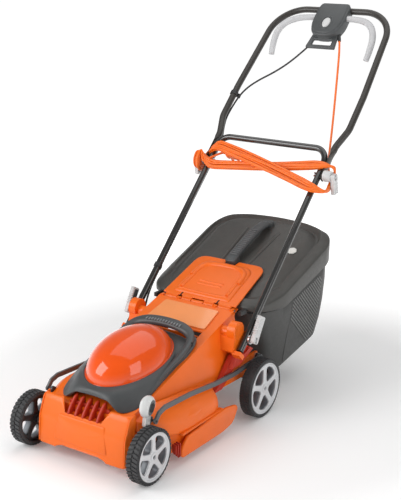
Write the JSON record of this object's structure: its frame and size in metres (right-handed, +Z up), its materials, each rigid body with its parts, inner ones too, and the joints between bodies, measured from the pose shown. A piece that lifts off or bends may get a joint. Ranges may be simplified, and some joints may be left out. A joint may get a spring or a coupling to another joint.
{
  "type": "push lawn mower",
  "caption": "Corded electric push lawn mower with folding two-part handle, rear grass box, flap, domed motor cover, height lever, cam levers and coiled mains cable.",
  "frame": {"origin": "on the ground in the mower's plane of symmetry, under the middle of its length", "axes": "+X to the viewer's right seen from the front, the mower's front faces -Y, +Z up"},
  "size_m": [0.508, 1.3943, 1.14],
  "materials": {
    "orange_satin": "satin moulded",
    "orange_gloss": "high gloss",
    "orange_panel": "gloss",
    "charcoal": "satin moulded",
    "black_plastic": "fine grain",
    "black_tube": "gloss powder coat",
    "grey_tube": "satin powder coat",
    "pale_plastic": "satin",
    "white_plastic": "gloss",
    "silver_rim": "metallic paint on plastic",
    "tyre_rubber": "matt",
    "bare_steel": "zinc plated",
    "black_steel": "satin paint",
    "cast": "as cast",
    "winding": "laminated core",
    "orange_cord": "matt jacket",
    "black_cord": "matt jacket",
    "off_white": "clear window over white"
  },
  "bodies": {
    "deck": {"deck_shell": "orange_satin", "front_panel": "orange_satin", "air_grille": "orange_satin", "bezel": "charcoal", "motor_cover": "orange_gloss", "chute_cover": "orange_panel", "side_skirts": "orange_satin", "handle_ears": "orange_satin", "wheel_gussets": "orange_satin", "motor_stator": "winding", "motor_bearings": "bare_steel", "lower_bolts": "bare_steel", "flex_deck": "black_cord"},
    "rotor": {"rotor_shaft": "bare_steel", "cooling_fan": "black_plastic", "blade_carrier": "cast", "blade": "black_steel", "blade_bolt": "bare_steel"},
    "right_crank": {"front_right_crank": "black_steel", "height_knob": "white_plastic"},
    "left_crank": {"front_left_crank": "black_steel"},
    "right_link": {"right_link_bar": "black_steel"},
    "left_link": {"left_link_bar": "black_steel"},
    "rear_axle_body": {"rear_axle": "black_steel"},
    "flap": {"rear_flap": "orange_satin", "flap_pin": "bare_steel", "flap_spring": "bare_steel"},
    "grass_box": {"box_bin": "black_plastic", "box_lid": "charcoal", "box_grip": "charcoal", "fill_indicator": "off_white", "box_hooks": "black_plastic"},
    "lower_handle_body": {"lower_handle": "black_tube", "lower_clip": "black_plastic", "flex_lower": "black_cord", "upper_bolts": "bare_steel", "cord_pegs": "pale_plastic", "cord_coil": "orange_cord", "cord_plug": "orange_cord"},
    "upper_handle_body": {"upper_handle": "grey_tube", "upper_clip": "black_plastic", "flex_upper": "black_cord", "switch_box": "charcoal", "switch_parts": "black_plastic", "bail_spring": "bare_steel", "power_cord": "orange_cord"},
    "bail_body": {"bail": "pale_plastic"},
    "button_body": {"lock_button": "pale_plastic"},
    "front_left_wheel": {"front_left_tyre": "tyre_rubber", "front_left_rim": "silver_rim"},
    "front_right_wheel": {"front_right_tyre": "tyre_rubber", "front_right_rim": "silver_rim"},
    "rear_left_wheel": {"rear_left_tyre": "tyre_rubber", "rear_left_rim": "silver_rim"},
    "rear_right_wheel": {"rear_right_tyre": "tyre_rubber", "rear_right_rim": "silver_rim"},
    "left_lower_lever": {"left_lower_cam_lever": "pale_plastic"},
    "right_lower_lever": {"right_lower_cam_lever": "pale_plastic"},
    "left_upper_lever": {"left_upper_cam_lever": "pale_plastic"},
    "right_upper_lever": {"right_upper_cam_lever": "pale_plastic"}
  },
  "joints": [
    {"name": "blade_spin", "type": "hinge", "parent": "deck", "child": "rotor", "pos_m": [0, -0.416, 0], "axis": [0, 0, 1], "continuous": true},
    {"name": "height_set", "type": "hinge", "parent": "deck", "child": "right_crank", "pos_m": [0, -0.5746, 0.0745], "axis": [1, 0, 0], "range_deg": [-12, 28]},
    {"name": "left_crank_turn", "type": "hinge", "parent": "deck", "child": "left_crank", "pos_m": [0, -0.5746, 0.0745], "axis": [1, 0, 0], "range_deg": [-12, 28]},
    {"name": "rear_axle_turn", "type": "hinge", "parent": "deck", "child": "rear_axle_body", "pos_m": [0, -0.0603, 0.0867], "axis": [1, 0, 0], "range_deg": [-12, 28]},
    {"name": "right_link_turn", "type": "hinge", "parent": "right_crank", "child": "right_link", "pos_m": [0, -0.57, 0.147], "axis": [1, 0, 0], "range_deg": [-28, 12]},
    {"name": "left_link_turn", "type": "hinge", "parent": "left_crank", "child": "left_link", "pos_m": [0, -0.57, 0.147], "axis": [1, 0, 0], "range_deg": [-28, 12]},
    {"name": "flap_lift", "type": "hinge", "parent": "deck", "child": "flap", "pos_m": [0, -0.1184, 0.306], "axis": [1, 0, 0], "range_deg": [0, 75], "stiffness_Nm_per_rad": 0.3, "springref_deg": -34.38, "deforming": ["flap_spring"]},
    {"name": "grass_box_off", "type": "slide", "parent": "deck", "child": "grass_box", "axis": [0, 1, 0], "range_m": [0, 0.3]},
    {"name": "lower_fold", "type": "hinge", "parent": "deck", "child": "lower_handle_body", "pos_m": [0, -0.16123, 0.24947], "axis": [1, 0, 0], "range_deg": [0, 108]},
    {"name": "upper_fold", "type": "hinge", "parent": "lower_handle_body", "child": "upper_handle_body", "pos_m": [0, 0.23195, 0.65385], "axis": [-1, 0, 0], "range_deg": [-150, 0], "deforming": ["cord_coil", "power_cord"]},
    {"name": "bail_pull", "type": "hinge", "parent": "upper_handle_body", "child": "bail_body", "pos_m": [0, 0.65172, 1.08957], "axis": [1, 0, 0], "range_deg": [0, 10], "stiffness_Nm_per_rad": 1, "springref_deg": -20.05},
    {"name": "lock_push", "type": "slide", "parent": "upper_handle_body", "child": "button_body", "axis": [0, 0.7133, -0.7009], "range_m": [0, 0.004], "stiffness_N_per_m": 400, "springref_m": -0.003},
    {"name": "front_left_wheel_spin", "type": "hinge", "parent": "left_crank", "child": "front_left_wheel", "pos_m": [0, -0.6166, 0.0745], "axis": [1, 0, 0], "continuous": true},
    {"name": "front_right_wheel_spin", "type": "hinge", "parent": "right_crank", "child": "front_right_wheel", "pos_m": [0, -0.6166, 0.0745], "axis": [1, 0, 0], "continuous": true},
    {"name": "rear_left_wheel_spin", "type": "hinge", "parent": "rear_axle_body", "child": "rear_left_wheel", "pos_m": [0, -0.1023, 0.0867], "axis": [1, 0, 0], "continuous": true},
    {"name": "rear_right_wheel_spin", "type": "hinge", "parent": "rear_axle_body", "child": "rear_right_wheel", "pos_m": [0, -0.1023, 0.0867], "axis": [1, 0, 0], "continuous": true},
    {"name": "left_lower_lever_turn", "type": "hinge", "parent": "deck", "child": "left_lower_lever", "pos_m": [-0.222, -0.16123, 0.24947], "axis": [0, -0.5052, 0.863], "range_deg": [0, 100]},
    {"name": "left_upper_lever_turn", "type": "hinge", "parent": "lower_handle_body", "child": "left_upper_lever", "pos_m": [-0.248, 0.23195, 0.65385], "axis": [0, 0.98, 0.1992], "range_deg": [0, 100]},
    {"name": "right_lower_lever_turn", "type": "hinge", "parent": "deck", "child": "right_lower_lever", "pos_m": [0.222, -0.16123, 0.24947], "axis": [0, 0.5052, -0.863], "range_deg": [0, 100]},
    {"name": "right_upper_lever_turn", "type": "hinge", "parent": "lower_handle_body", "child": "right_upper_lever", "pos_m": [0.248, 0.23195, 0.65385], "axis": [0, -0.98, -0.1992], "range_deg": [0, 100]}
  ],
  "couplings": [
    {"joint": "left_crank_turn", "follows": "height_set", "ratio": 1},
    {"joint": "rear_axle_turn", "follows": "height_set", "ratio": 1},
    {"joint": "right_link_turn", "follows": "height_set", "ratio": -1},
    {"joint": "left_link_turn", "follows": "height_set", "ratio": -1}
  ]
}
